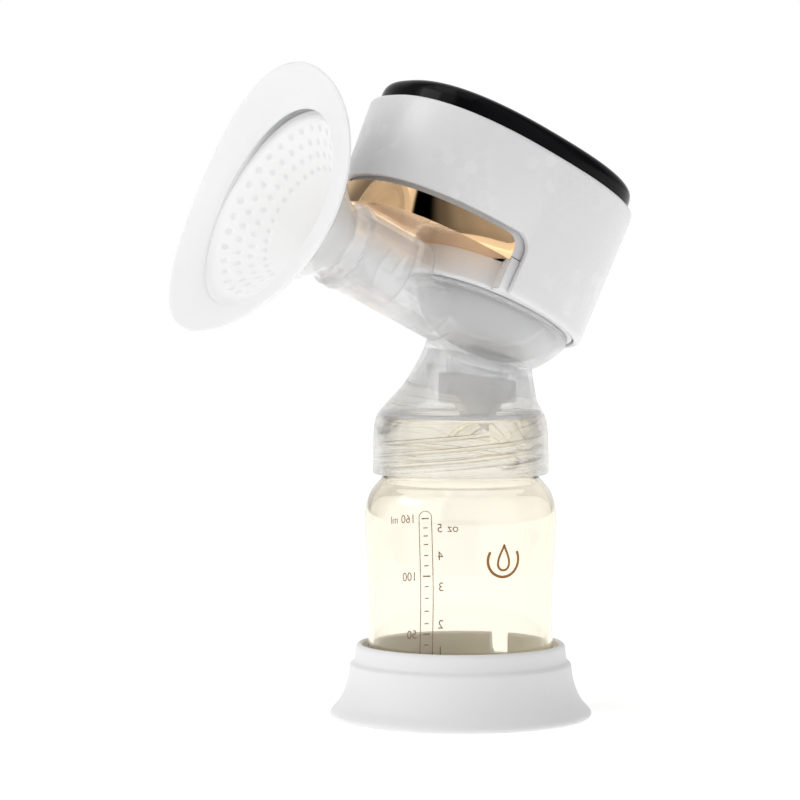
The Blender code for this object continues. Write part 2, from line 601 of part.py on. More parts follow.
def make_air_pump(head):
    """Motor, pump head and the rotor that drives it, on one axis across the unit."""
    across = (math.pi / 2, 0, 0)        # local +Z becomes the head frame's -Y
    axis = empty("rotor_axis", (PUMP_X, 0, PUMP_Z), head)
    can = [(10.4, 2.2), (MOTOR_RADIUS, 3.4), (MOTOR_RADIUS, 26.6), (11.2, 27.6), (5.0, 27.6)]
    motor = add("motor_can", turned(can, segments=24), STEEL, axis, rotation=across)
    combine(motor, helper("shaft_bore", rod(1.7, 0.0, 25.0), axis, rotation=across), "DIFFERENCE")
    pump = [(PUMP_HEAD_RADIUS, 1.8), (PUMP_HEAD_RADIUS, -22.0), (10.6, -24.2), (4.0, -24.2)]
    top = add("pump_head", turned(pump, segments=24), GREY, axis, rotation=across)
    combine(top, helper("crank_room", rod(10.4, -8.0, 5.0, segments=20), axis, rotation=across), "DIFFERENCE")
    combine(top, helper("nozzle", rod(1.6, -18.4, -10.0, 0.0, HOSE_Y, 12), axis), "UNION")
    combine(top, helper("nozzle_bore", rod(0.9, -25.0, -11.4, 0.0, HOSE_Y, 12), axis), "DIFFERENCE")
    rotor = add("pump_rotor", rod(1.3, -5.4, 23.0, segments=12), STEEL, axis, rotation=across)
    combine(rotor, helper("eccentric", rod(6.0, -4.6, -0.6, 1.4, 0.0), axis, rotation=across), "UNION")
    hose = [(1.95, COVER_FLOOR + GAP), (3.0, COVER_FLOOR + GAP), (3.0, PUMP_Z - PUMP_HEAD_RADIUS - GAP),
            (1.95, PUMP_Z - PUMP_HEAD_RADIUS - GAP)]
    add("air_hose", turned(hose, closed=True, segments=12), SILICONE, head, (PUMP_X, HOSE_Y, 0))


def make_release_valve(head):
    axis = empty("plunger_axis", (VALVE_X, 0, VALVE_Z), head)
    across = (math.pi / 2, 0, 0)
    valve = add("release_valve", turned([(5.0, -7.0), (5.0, 9.0)], segments=20), STEEL, axis, rotation=across)
    combine(valve, helper("plunger_bore", rod(2.2, -12.0, 5.0), axis, rotation=across), "DIFFERENCE")
    plunger = [(1.8, 2.0), (1.8, -9.4), (3.4, -9.6), (3.4, -11.0)]
    add("valve_plunger", turned(plunger, segments=12), STEEL, axis, rotation=across)


def screw(name, head, place, low, high, radius, head_radius, head_height, up):
    """A screw with a slotted head; `up` puts its head at the top."""
    x, y = place
    z = high if up else low
    inward = -1 if up else 1
    profile = [(head_radius, 0.0), (head_radius, inward * head_height), (radius, inward * head_height),
               (radius, inward * (high - low))]
    piece = add(name, turned(profile, segments=12), STEEL, head, (x, y, z))
    slot = box((-head_radius - 1, -0.35, -0.5), (head_radius + 1, 0.35, 0.5))
    combine(piece, helper(name + "_slot", slot, head, (x, y, z)), "DIFFERENCE")


def make_screws(head):
    for i, place in enumerate(COVER_SCREWS, 1):
        screw(f"cover_screw_{i}", head, place, COVER_BOTTOM + 0.1, TRAY_FLOOR - 3.5, 1.0, 2.5, 1.2, False)
    top = BOARD_BOTTOM + BOARD_THICK + GAP + 1.3
    for i, place in enumerate(BOARD_SCREWS, 1):
        screw(f"board_screw_{i}", head, place, BOARD_BOTTOM - 6.0, top, 0.8, 2.2, 1.3, True)


def make_battery(head):
    low = TRAY_FLOOR + 1.6 + GAP
    add("battery", rounded_box((-43.0, -16.0, low), (-9.5, 16.0, low + 10.4), 3.0), BLUE, head)


def main():
    clear_scene()
    make_stand()
    make_bottle()
    make_seal()
    head = empty("head_frame", (0, 0, HEAD_Z), turn=TILT)
    make_collar()
    make_pump_body(head)
    make_duckbill()
    make_diaphragm(head)
    shield_axis = empty("shield_axis", (0, 0, 0), head)
    make_shield(shield_axis)
    make_cushion(shield_axis)
    make_housing(head)
    make_trim(head)
    make_cover(head)
    make_tray(head)
    make_lid(head)
    make_keys(head)
    make_board(head)
    make_air_pump(head)
    make_release_valve(head)
    make_screws(head)
    make_battery(head)


main()
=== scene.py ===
"""Looks of the breast pump: fine meshes, materials, print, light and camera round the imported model."""

import math

import bmesh
import bpy
from mathutils import Matrix, Vector


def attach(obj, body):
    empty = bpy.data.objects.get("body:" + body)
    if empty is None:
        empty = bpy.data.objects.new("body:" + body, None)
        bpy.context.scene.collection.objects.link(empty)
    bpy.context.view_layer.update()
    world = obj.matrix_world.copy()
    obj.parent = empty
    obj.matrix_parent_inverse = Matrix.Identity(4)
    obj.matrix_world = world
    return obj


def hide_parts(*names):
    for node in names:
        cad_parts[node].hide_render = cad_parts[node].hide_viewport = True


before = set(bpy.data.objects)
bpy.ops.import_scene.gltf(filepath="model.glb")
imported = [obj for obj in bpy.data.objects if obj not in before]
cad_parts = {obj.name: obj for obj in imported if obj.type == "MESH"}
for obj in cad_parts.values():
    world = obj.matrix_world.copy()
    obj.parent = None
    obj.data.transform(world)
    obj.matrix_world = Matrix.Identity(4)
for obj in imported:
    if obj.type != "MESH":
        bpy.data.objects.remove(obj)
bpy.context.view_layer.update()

# Shapes are in millimetres until solid() scales them. HEAD is the tilted frame of the motor unit:
# its x runs from the breast shield to the charging inlet, and its z out through the keys.
MM = 0.001
ROUND = 128                     # sides of a large round piece
TILT = math.radians(26)
HEAD = Matrix.Translation((0, 0, 137.0)) @ Matrix.Rotation(TILT, 4, "Y")
ALONG = HEAD @ Matrix.Rotation(math.pi / 2, 4, "Y")       # turned pieces on the suction axis
BOWL_X = 9.8                    # the bowl's axis in the head frame
BOWL = HEAD @ Matrix.Translation((BOWL_X, 0, 0))

# Four-start thread between bottle and cap.
STARTS, LEAD = 4, 15.6
BOTTLE_THREAD_Z, CAP_THREAD_Z = 85.4, 83.9


# ---------------------------------------------------------------- mesh tools
def curve_through(points, steps):
    """A smooth curve through points: Catmull-Rom, `steps` pieces to a span."""
    ends = [tuple(2 * a - b for a, b in zip(points[0], points[1]))]
    last = [tuple(2 * a - b for a, b in zip(points[-1], points[-2]))]
    row = ends + list(points) + last
    fine = []
    for k in range(1, len(row) - 2):
        p0, p1, p2, p3 = row[k - 1:k + 3]
        for i in range(steps):
            t = i / steps
            fine.append(tuple(0.5 * (2 * b + (c - a) * t + (2 * a - 5 * b + 4 * c - d) * t * t
                                     + (3 * b - a - 3 * c + d) * t ** 3)
                              for a, b, c, d in zip(p0, p1, p2, p3)))
    return fine + [tuple(points[-1])]


def profile(*runs, steps=5):
    """Smooth runs of points, joined at corners."""
    whole = []
    for run in runs:
        fine = curve_through(run, steps) if len(run) > 2 else list(run)
        if whole and math.dist(whole[-1], fine[0]) < 1e-6:
            fine = fine[1:]
        whole += fine
    return whole


def skin(rings, closed=False):
    """A closed mesh through rings of points, capped at both ends or joined end to end."""
    built = bmesh.new()
    rows = [[built.verts.new(point) for point in ring] for ring in rings]
    pairs = list(zip(rows, rows[1:]))
    if closed:
        pairs.append((rows[-1], rows[0]))
    for low, high in pairs:
        count = len(low)
        for i in range(count):
            j = (i + 1) % count
            built.faces.new((low[i], low[j], high[j], high[i]))
    if not closed:
        built.faces.new(rows[0])
        built.faces.new(rows[-1])
    return built


def circle(radius, z, x=0.0, y=0.0, lean=0.0, segments=ROUND):
    ring = []
    for i in range(segments):
        angle = 2 * math.pi * i / segments
        along = radius * math.cos(angle)
        ring.append((x + along * math.cos(lean), y + radius * math.sin(angle),
                     z - along * math.sin(lean)))
    return ring


def turned(points, closed=False, segments=ROUND):
    return skin([circle(r, z, segments=segments) for r, z in points], closed)


def rod(radius, z0, z1, x=0.0, y=0.0, segments=64):
    return skin([circle(radius, z, x, y, segments=segments) for z in (z0, z1)])


def box(low, high):
    (x0, y0, z0), (x1, y1, z1) = low, high
    return skin([[(x0, y0, z), (x1, y0, z), (x1, y1, z), (x0, y1, z)] for z in (z0, z1)])


def rounded_box(low, high, radius, steps=8):
    (x0, y0, z0), (x1, y1, z1) = low, high
    outline = []
    for quarter, (x, y) in enumerate(((x1 - radius, y1 - radius), (x0 + radius, y1 - radius),
                                      (x0 + radius, y0 + radius), (x1 - radius, y0 + radius))):
        for i in range(steps + 1):
            angle = math.pi / 2 * (quarter + i / steps)
            outline.append((x + radius * math.cos(angle), y + radius * math.sin(angle)))
    return skin([[(x, y, z) for x, y in outline] for z in (z0, z1)])


def merge(parts):
    whole = bmesh.new()
    for part in parts:
        piece = bpy.data.meshes.new("piece")
        part.to_mesh(piece)
        part.free()
        whole.from_mesh(piece)
        bpy.data.meshes.remove(piece)
    return whole


def smoothstep(value):
    value = min(1.0, max(0.0, value))
    return value * value * (3 - 2 * value)


def solid(name, built, place=None):
    """An object from a bmesh in millimetres, put in place in its vertices."""
    bmesh.ops.recalc_face_normals(built, faces=built.faces)
    built.transform(Matrix.Scale(MM, 4) @ (place or Matrix.Identity(4)))
    mesh = bpy.data.meshes.new(name)
    built.to_mesh(mesh)
    built.free()
    obj = bpy.data.objects.new(name, mesh)
    bpy.context.scene.collection.objects.link(obj)
    return obj


def combine(obj, other, operation="DIFFERENCE"):
    modifier = obj.modifiers.new(other.name, "BOOLEAN")
    modifier.operation = operation
    modifier.solver = "EXACT"
    modifier.object = other
    return other


def bevel(obj, width, segments=3, angle=40):
    modifier = obj.modifiers.new("bevel", "BEVEL")
    modifier.width = width * MM
    modifier.segments = segments
    modifier.limit_method = "ANGLE"
    modifier.angle_limit = math.radians(angle)


def settle(obj, tools=()):
    """Applies the modifiers and removes the objects that served them."""
    graph = bpy.context.evaluated_depsgraph_get()
    mesh = bpy.data.meshes.new_from_object(obj.evaluated_get(graph))
    obj.modifiers.clear()
    old = obj.data
    obj.data = mesh
    bpy.data.meshes.remove(old)
    for tool in tools:
        bpy.data.objects.remove(tool)
    return obj


def tilt(obj):
    """Takes a piece built upright into the head's tilted frame."""
    obj.data.transform(Matrix.Scale(MM, 4) @ HEAD @ Matrix.Scale(1 / MM, 4))


def finished(obj, body, nodes, look, angle=32):
    """Shades a piece, gives it its finish and hangs it on its body in place of CAD nodes."""
    obj.data.shade_smooth()
    obj.data.set_sharp_from_angle(angle=math.radians(angle))
    obj.data.materials.clear()
    obj.data.materials.append(look)
    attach(obj, body)
    if nodes:
        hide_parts(*nodes)


# ---------------------------------------------------------------- materials
def add_node(tree, kind, inputs=(), **settings):
    """A shader node with its settings, and each input's value or link."""
    made = tree.nodes.new("ShaderNode" + kind)
    for key, value in settings.items():
        setattr(made, key, value)
    for key, value in dict(inputs).items():
        if hasattr(value, "links"):
            tree.links.new(value, made.inputs[key])
        else:
            made.inputs[key].default_value = value
    return made


class Look:
    """A material under construction: a Principled shader and shorthands for its nodes."""

    def __init__(self, name, colour, roughness, metallic=0.0, **sockets):
        self.material = bpy.data.materials.new(name)
        self.material.use_nodes = True
        self.tree = self.material.node_tree
        self.shader = self.tree.nodes["Principled BSDF"]
        self.shader.inputs["Base Color"].default_value = (*colour, 1.0)
        self.shader.inputs["Roughness"].default_value = roughness
        self.shader.inputs["Metallic"].default_value = metallic
        for socket, value in sockets.items():
            self.shader.inputs[socket.replace("_", " ")].default_value = value

    def node(self, kind, inputs=(), **settings):
        return add_node(self.tree, kind, inputs, **settings)

    def link(self, out, socket):
        self.tree.links.new(out, self.shader.inputs[socket])

    def place(self):
        return self.node("TexCoord").outputs["Object"]

    def noise(self, scale, detail=3.0):
        inputs = {"Vector": self.place(), "Scale": scale, "Detail": detail}
        return self.node("TexNoise", inputs).outputs["Fac"]

    def math(self, operation, a, b=0.0, c=0.0):
        return self.node("Math", {0: a, 1: b, 2: c}, operation=operation).outputs[0]

    def remap(self, value, low, high):
        return self.node("MapRange", {"Value": value, "To Min": low, "To Max": high}).outputs["Result"]

    def between(self, value, low, high):
        """0 at low, 1 at high."""
        return self.node("MapRange", {"Value": value, "From Min": low, "From Max": high}).outputs["Result"]

    def mix(self, factor, a, b):
        return self.node("Mix", {0: factor, 6: a, 7: b}, data_type="RGBA").outputs[2]

    def relief(self, height, depth_mm, strength):
        """Bump from a height between 0 and 1, `depth_mm` deep."""
        bump = self.node("Bump", {"Strength": strength, "Distance": depth_mm * MM, "Height": height})
        self.link(bump.outputs["Normal"], "Normal")

    def grain(self, scale, depth_mm, strength):
        """Fine moulded grain."""
        self.relief(self.noise(scale), depth_mm, strength)

    def mottle(self, scale, dark, light):
        """Faint unevenness of the colour."""
        self.link(self.mix(self.noise(scale), (*dark, 1), (*light, 1)), "Base Color")

    def rough(self, scale, low, high):
        self.link(self.remap(self.noise(scale), low, high), "Roughness")

    def absorb(self, colour, density):
        volume = self.node("VolumeAbsorption", {"Color": (*colour, 1), "Density": density})
        self.tree.links.new(volume.outputs[0], self.tree.nodes["Material Output"].inputs["Volume"])


def matte_white():
    look = Look("stand_white", (0.84, 0.84, 0.845), 0.5, Specular_IOR_Level=0.4)
    look.mottle(40, (0.83, 0.83, 0.835), (0.86, 0.86, 0.865))
    look.rough(120, 0.46, 0.56)
    look.grain(2600, 0.02, 0.35)
    return look.material


def satin_white():
    look = Look("satin_white", (0.82, 0.82, 0.83), 0.32, Coat_Weight=0.15, Coat_Roughness=0.2)
    look.mottle(25, (0.81, 0.81, 0.82), (0.84, 0.84, 0.85))
    look.rough(160, 0.28, 0.38)
    look.grain(3000, 0.01, 0.3)
    return look.material


def honeycomb_white():
    """Satin white with a faint honeycomb under the surface; one unit of UV is one cell's pitch."""
    look = Look("honeycomb_white", (0.82, 0.82, 0.83), 0.30, Coat_Weight=0.25, Coat_Roughness=0.15)
    uv = look.node("UVMap", uv_map="cells").outputs["UV"]
    root3 = 3 ** 0.5

    def vector(operation, a, b=(0, 0, 0), out=0):
        return look.node("VectorMath", {0: a, 1: b}, operation=operation).outputs[out]

    def to_centre(offset):
        """From the nearest centre of one of the two rectangular grids that make up the honeycomb."""
        cell = vector("DIVIDE", vector("ADD", uv, (offset, offset * root3, 0)), (1.0, root3, 1))
        part = vector("SUBTRACT", vector("FRACTION", cell), (0.5, 0.5, 0))
        return vector("MULTIPLY", part, (1.0, root3, 0))

    first, second = to_centre(0.0), to_centre(0.5)
    lengths = [vector("LENGTH", away, out="Value") for away in (first, second)]
    nearer = look.math("LESS_THAN", lengths[1], lengths[0])
    local = look.node("Mix", {0: nearer, 4: first, 5: second}, data_type="VECTOR").outputs[1]
    centre = vector("SUBTRACT", uv, local)
    size = vector("ABSOLUTE", local)
    across = look.node("SeparateXYZ", {0: size}).outputs[0]
    slanted = vector("DOT_PRODUCT", size, (0.5, 0.5 * root3, 0), "Value")
    edge = look.math("MAXIMUM", across, slanted)
    line = look.between(edge, 0.455, 0.485)
    chance = look.node("TexWhiteNoise", {0: centre}, noise_dimensions="3D").outputs["Value"]
    filled = look.math("GREATER_THAN", chance, 0.80)
    patches = look.between(look.noise(38.0, 1.0), 0.42, 0.62)
    mark = look.math("MULTIPLY", look.math("MAXIMUM", look.math("MULTIPLY", line, 0.7), filled), patches)
    look.link(look.mix(mark, (0.80, 0.80, 0.81, 1), (0.855, 0.855, 0.86, 1)), "Base Color")
    look.link(look.remap(mark, 0.33, 0.27), "Roughness")
    look.relief(mark, 0.012, 0.5)
    return look.material


def mirror_gold():
    look = Look("mirror_gold", (0.90, 0.60, 0.33), 0.05, metallic=1.0)
    look.mottle(60, (0.89, 0.59, 0.32), (0.92, 0.62, 0.35))
    look.rough(300, 0.03, 0.07)
    return look.material


def gloss_black():
    look = Look("gloss_black", (0.004, 0.004, 0.005), 0.12, Specular_IOR_Level=0.1)
    look.mottle(50, (0.003, 0.003, 0.004), (0.006, 0.006, 0.007))
    look.rough(90, 0.10, 0.15)
    return look.material


def amber_clear():
    look = Look("amber_clear", (0.975, 0.97, 0.955), 0.0, IOR=1.5, Transmission_Weight=1.0)
    look.rough(200, 0.0, 0.02)
    look.absorb((1.0, 0.80, 0.22), 62.0)
    see_through(look, 1.0, 1.0, 0.85)
    return look.material


def clear_plastic(name, roughness, milk, facing, edge):
    """Milky clear plastic: see-through face on, denser where the wall turns away."""
    look = Look(name, (0.84, 0.845, 0.85), roughness, IOR=1.35, Transmission_Weight=1.0 - milk)
    look.rough(180, roughness * 0.8, roughness * 1.2)
    look.grain(350, 0.02, 0.1)
    see_through(look, facing, edge, 0.5)
    return look.material


def see_through(look, facing, edge, lets_by):
    """Thins the surface face on, and lets part of the scattered light by to what is inside."""
    turn = look.node("LayerWeight", {"Blend": 0.35}).outputs["Facing"]
    shown = look.remap(look.math("POWER", turn, 1.5), facing, edge)
    path = look.node("LightPath").outputs
    scattered = look.math("MAXIMUM", path["Is Shadow Ray"], path["Is Diffuse Ray"])
    kept = look.math("MULTIPLY_ADD", scattered, -lets_by, 1.0)
    look.link(look.math("MULTIPLY", shown, kept), "Alpha")


def silicone(name, colour, transmission):
    look = Look(name, colour, 0.42, IOR=1.41, Subsurface_Weight=0.5, Subsurface_Scale=0.004,
                Transmission_Weight=transmission)
    look.shader.inputs["Subsurface Radius"].default_value = (1.0, 1.0, 1.0)
    look.mottle(35, tuple(c * 0.985 for c in colour), colour)
    look.rough(90, 0.38, 0.48)
    look.grain(1800, 0.012, 0.25)
    return look.material


def cushion_silicone():
    """Matt silicone with painted shade: its shade colour darkens a dimple up to 1, and beyond 1 the wall
    under the brim.
    """
    look = Look("cushion_silicone", (0.90, 0.90, 0.90), 0.40, IOR=1.41, Subsurface_Weight=0.7,
                Subsurface_Scale=0.005)
    look.shader.inputs["Subsurface Radius"].default_value = (1.0, 1.0, 1.0)
    painted_shade = look.node("VertexColor", layer_name="painted_shade").outputs["Color"]
    deep = look.node("SeparateColor", {"Color": painted_shade}).outputs["Red"]
    tone = look.mix(look.noise(35), (0.90, 0.90, 0.90, 1), (0.92, 0.92, 0.92, 1))
    # Painted shade: the dimples are greyed.
    with_dimple_shade = look.mix(look.math("MINIMUM", deep, 1.0), tone, (0.80, 0.80, 0.805, 1))
    # Painted shade: beyond 1 the colour turns dark grey on the wall under the brim's lip.
    shaded = look.math("MULTIPLY", look.math("MAXIMUM", look.math("SUBTRACT", deep, 1.0), 0.0), 0.8)
    look.link(look.mix(shaded, with_dimple_shade, (0.30, 0.30, 0.305, 1)), "Base Color")
    look.rough(90, 0.36, 0.44)
    look.grain(1800, 0.012, 0.25)
    return look.material


def printed_brown():
    look = Look("printed_brown", (0.30, 0.13, 0.015), 0.45)
    look.mottle(600, (0.27, 0.115, 0.012), (0.33, 0.15, 0.02))
    return look.material


def simple(name, colour, roughness, metallic=0.0, scale=400):
    """An inner piece's finish, with its own slight unevenness."""
    look = Look(name, colour, roughness, metallic)
    look.mottle(scale, tuple(c * 0.9 for c in colour), colour)
    look.rough(scale, roughness * 0.85, roughness * 1.15)
    look.grain(scale * 4, 0.02, 0.3)
    return look.material


def circuit_board():
    look = Look("circuit_board", (0.03, 0.20, 0.09), 0.35)
    waves = {"Vector": look.place(), "Scale": 180.0, "Distortion": 6.0, "Detail": 1.0}
    tracks = look.node("TexWave", waves)
    look.link(look.mix(tracks.outputs["Fac"], (0.02, 0.15, 0.07, 1), (0.05, 0.26, 0.12, 1)), "Base Color")
    look.relief(tracks.outputs["Fac"], 0.03, 0.4)
    return look.material


# ---------------------------------------------------------------- stand and bottle
STAND = profile(
    [(12.0, 0.0), (12.6, 0.6)], [(12.6, 0.6), (12.6, 4.4)], [(12.6, 4.4), (37.4, 4.4)],
    [(37.4, 4.4), (40.4, 0.0)], [(40.4, 0.0), (42.9, 0.0)],
    [(42.9, 0.0), (43.8, 0.25), (44.25, 0.95), (44.05, 1.9), (43.2, 3.0), (41.4, 5.0), (40.0, 7.4),
     (39.0, 9.9), (38.2, 12.6), (37.75, 15.2), (37.5, 17.4)],
    [(37.5, 17.4), (37.3, 18.0), (36.7, 18.5), (36.1, 19.0), (35.85, 19.8), (35.6, 21.6), (35.45, 23.2),
     (35.25, 24.1), (34.8, 24.65), (34.25, 24.85), (33.7, 24.65), (33.15, 24.1), (32.95, 23.2)],
    [(32.95, 23.2), (32.65, 9.2)], [(32.65, 9.2), (32.3, 8.1), (31.2, 7.45)])


# The notch in the stand's rim: its direction, its bottom and half its width.
NOTCH_ANGLE, NOTCH_Z, NOTCH_HALF = 33.7, 17.6, 3.6


def make_stand(look):
    stand = solid("stand_shell", turned(STAND))
    notch = rounded_box((-NOTCH_HALF, 30.0, 0.0), (NOTCH_HALF, 40.0, 40.0), 0.6, 3)
    turn = Matrix.Rotation(math.radians(NOTCH_ANGLE - 90), 4, "Z") @ Matrix.Translation((0, 0, NOTCH_Z))
    settle(stand, [combine(stand, solid("notch", notch, turn))])
    finished(stand, "stand", ["base_stand"], look)


# Outlines as (radius, height).
BOTTLE_OUT = [(24.0, 8.6), (25.8, 8.0), (27.8, 7.72), (29.8, 8.1), (31.1, 9.5), (31.7, 12.0),
              (31.75, 16.0), (31.4, 24.0), (31.0, 34.0), (31.0, 40.0), (31.3, 47.0), (31.85, 55.0),
              (32.4, 62.0), (32.5, 66.0), (32.25, 70.0), (31.5, 73.4), (30.2, 76.4), (28.4, 78.8),
              (27.1, 80.2), (26.35, 81.4), (26.2, 82.6)]
BOTTLE_WALL = 1.65
BOTTLE_BASE = [(30.15, 16.0), (30.05, 12.8), (29.2, 10.8), (27.4, 9.8), (25.6, 9.9), (23.4, 10.2)]


def inner_wall(outer, wall):
    """The outline's offset to the inside, from the neck down to the foot."""
    inner = []
    for before, here, after in zip(outer, outer[1:], outer[2:]):
        dr, dz = after[0] - before[0], after[1] - before[1]
        length = math.hypot(dr, dz)
        if here[1] > 18 and (dr < 0 or here[1] < 81):
            inner.append((here[0] - dz / length * wall, here[1] + dr / length * wall))
    return inner[::-1]


def bottle_radius(z):
    """The bottle's outer radius at a height."""
    for (r0, z0), (r1, z1) in zip(BOTTLE_OUT[2:], BOTTLE_OUT[3:]):
        if z0 <= z <= z1:
            return r0 + (r1 - r0) * (z - z0) / (z1 - z0)
    return 31.5


def thread(name, root, tip, start_z, sweep, phase=0.0):
    """One rounded ridge for each start of the thread, running out at both ends."""
    steps = round(math.degrees(sweep) / 3)
    ridges = []
    for start in range(STARTS):
        rings = []
        for i in range(steps + 1):
            turn = sweep * i / steps
            angle = turn + 2 * math.pi * start / STARTS + phase
            z = start_z + LEAD * turn / (2 * math.pi)
            ease = smoothstep(min(i, steps - i) / 4)
            crest = root + (tip - root) * (0.40 + 0.60 * ease)
            arc = [(root, -0.85), (root + (crest - root) * 0.6, -0.72),
                   (root + (crest - root) * 0.92, -0.45), (crest, 0.0)]
            arc += [(r, -dz) for r, dz in arc[2::-1]]
            rings.append([(r * math.cos(angle), r * math.sin(angle), z + dz) for r, dz in arc])
        ridges.append(skin(rings))
    return solid(name, merge(ridges))


def make_bottle(look):
    neck = [(26.2, 82.6), (26.2, 100.6)]
    rim = [(26.2, 100.6), (26.0, 101.1), (25.5, 101.4), (24.9, 101.35), (24.5, 101.0), (24.4, 100.6)]
    outside = curve_through(BOTTLE_OUT, 5)
    inside = [point for point in inner_wall(outside, BOTTLE_WALL) if point[1] < 80.5]
    bore = [(24.4, 100.6), (24.4, 82.2), (24.5, 81.2)]
    outline = profile(outside, neck, rim, bore[:2]) + bore[2:] + inside + curve_through(BOTTLE_BASE, 5)
    bottle = solid("bottle_clear", turned(outline, segments=160))
    ridges = thread("bottle_ridges", 25.8, 27.4, BOTTLE_THREAD_Z, math.radians(260))
    settle(bottle, [combine(bottle, ridges, "UNION")])
    finished(bottle, "bottle", ["bottle"], look)


# ---------------------------------------------------------------- print on the bottle
PRINT_GAP, PRINT_THICK = 0.06, 0.05     # between wall and print, and the print's own thickness


def wrapped(built, angle, z0):
    """Lays flat shapes (x along the wall, y up, z outwards) on the bottle's outside."""
    for vert in built.verts:
        x, y, out = vert.co
        z = z0 + y
        radius = bottle_radius(z) + PRINT_GAP + out
        turn = math.radians(angle) + x / bottle_radius(z)
        vert.co = (radius * math.cos(turn), radius * math.sin(turn), z)
    return built


def plate(x0, x1, y0, y1, thick=PRINT_THICK):
    """A flat bar, cut up so that it can follow the wall."""
    rows = max(2, round(abs(y1 - y0) / 1.0) + 1)
    columns = max(2, round(abs(x1 - x0) / 0.6) + 1)
    built = bmesh.new()
    across = [x0 + (x1 - x0) * i / (columns - 1) for i in range(columns)]
    up = [y0 + (y1 - y0) * j / (rows - 1) for j in range(rows)]
    sheets = [[[built.verts.new((x, y, out)) for x in across] for y in up] for out in (0.0, thick)]
    for sheet in sheets:
        for j in range(rows - 1):
            for i in range(columns - 1):
                built.faces.new((sheet[j][i], sheet[j][i + 1], sheet[j + 1][i + 1], sheet[j + 1][i]))
    border = [(0, i) for i in range(columns)] + [(j, columns - 1) for j in range(1, rows)]
    border += [(rows - 1, i) for i in range(columns - 2, -1, -1)] + [(j, 0) for j in range(rows - 2, 0, -1)]
    for (a, b), (c, d) in zip(border, border[1:] + border[:1]):
        built.faces.new((sheets[0][a][b], sheets[0][c][d], sheets[1][c][d], sheets[1][a][b]))
    return built


def ribbon(points, width, thick=PRINT_THICK, closed=False):
    """A line of even width through flat points."""
    count = len(points)
    rings = []
    for i, (x, y) in enumerate(points):
        before = points[i - 1] if closed or i else points[0]
        after = points[(i + 1) % count] if closed or i < count - 1 else points[-1]
        dx, dy = after[0] - before[0], after[1] - before[1]
        length = math.hypot(dx, dy)
        nx, ny = -dy / length * width / 2, dx / length * width / 2
        left, right = (x + nx, y + ny), (x - nx, y - ny)
        rings.append([(*left, 0.0), (*right, 0.0), (*right, thick), (*left, thick)])
    return skin(rings, closed)


def lettering(text, size, x, y, align="LEFT"):
    """Numerals as closed solids."""
    curve = bpy.data.curves.new("lettering", "FONT")
    curve.body = text
    curve.size = size
    curve.extrude = PRINT_THICK / 2
    curve.align_x = align
    curve.align_y = "CENTER"
    curve.resolution_u = 6
    obj = bpy.data.objects.new("lettering", curve)
    bpy.context.scene.collection.objects.link(obj)
    graph = bpy.context.evaluated_depsgraph_get()
    mesh = bpy.data.meshes.new_from_object(obj.evaluated_get(graph))
    bpy.data.objects.remove(obj)
    built = bmesh.new()
    built.from_mesh(mesh)
    bpy.data.meshes.remove(mesh)
    bmesh.ops.remove_doubles(built, verts=built.verts, dist=1e-4)
    bmesh.ops.translate(built, vec=(x, y, PRINT_THICK / 2), verts=built.verts)
    return built


def arc_of(radius, start, end, step, x=0.0, y=0.0):
    """Flat points on an arc, its angles in whole degrees."""
    turns = [math.radians(a) for a in range(start, end, step)]
    return [(x + radius * math.cos(turn), y + radius * math.sin(turn)) for turn in turns]


# The scale's and the drop's places round the bottle, in degrees, and the marks as (value, height).
SCALE_ANGLE = 81.5
DROP_ANGLE, DROP_Z = 264.9, 56.4
TICKS = ((160, 64.3), (150, 61.0), (140, 58.2), (130, 55.3), (120, 51.6), (110, 48.0), (100, 44.4),
         (90, 40.8), (80, 36.8), (70, 32.3), (60, 27.9), (50, 24.2), (40, 20.4), (30, 16.8))
LABELLED = (160, 100, 50)
OUNCES = ((5, 60.6), (4, 51.2), (3, 40.4), (2, 27.3), (1, 18.0))


def make_print(look):
    """The volume scale, which reads from its own side of the bottle, and a plain drop mark."""
    half = 2.45
    side = [(half, z) for z in range(13, 65)]
    outline = side + arc_of(half, 0, 181, 12, 0.0, 64.6) + [(-x, z) for x, z in reversed(side)]
    flat = [ribbon(outline, 0.30)]
    for value, z in TICKS:
        reach, high = (1.45, 0.26) if value in LABELLED else (0.85, 0.18)
        flat.append(plate(-reach, reach, z - high, z + high))
    flat += [lettering(str(value), 4.3, 3.9, z) for value, z in TICKS if value in LABELLED]
    flat.append(lettering("ml", 4.0, 11.8, TICKS[0][1]))
    flat += [lettering(str(value), 4.4, -4.3, z, "RIGHT") for value, z in OUNCES]
    flat.append(lettering("oz", 4.2, -8.2, OUNCES[0][1], "RIGHT"))
    scale = solid("volume_scale", merge([wrapped(piece, SCALE_ANGLE, 0.0) for piece in flat]))
    finished(scale, "bottle", None, look, 20)

    drop, count = [], 48
    for i in range(count):
        turn = 2 * math.pi * i / count
        reach = 2.9 * math.sin(turn / 2) ** 1.5
        drop.append((reach * math.sin(turn), 4.2 * math.cos(turn)))
    flat = [ribbon(drop, 0.75, closed=True), ribbon(arc_of(5.6, 150, 391, 8, 0.0, -0.8), 0.9)]
    mark = solid("drop_mark", merge([wrapped(piece, DROP_ANGLE, DROP_Z) for piece in flat]))
    finished(mark, "bottle", None, look, 20)


# ---------------------------------------------------------------- pump body and what it holds
# The neck's sections: (x, z, radius, lean in degrees).
NECK = ((0.0, 103.6, 27.3, 0), (1.2, 107.0, 24.8, 1), (3.2, 110.4, 22.6, 4), (5.0, 114.0, 20.9, 9),
        (6.4, 118.0, 19.4, 14), (7.4, 122.0, 18.6, 20), (8.0, 126.0, 18.3, 26))
VALVE_X = 6.6                   # the milk outlet's axis


def neck_rings(wall, rows):
    return [circle(r - wall, z, x, lean=math.radians(lean)) for x, z, r, lean in rows]


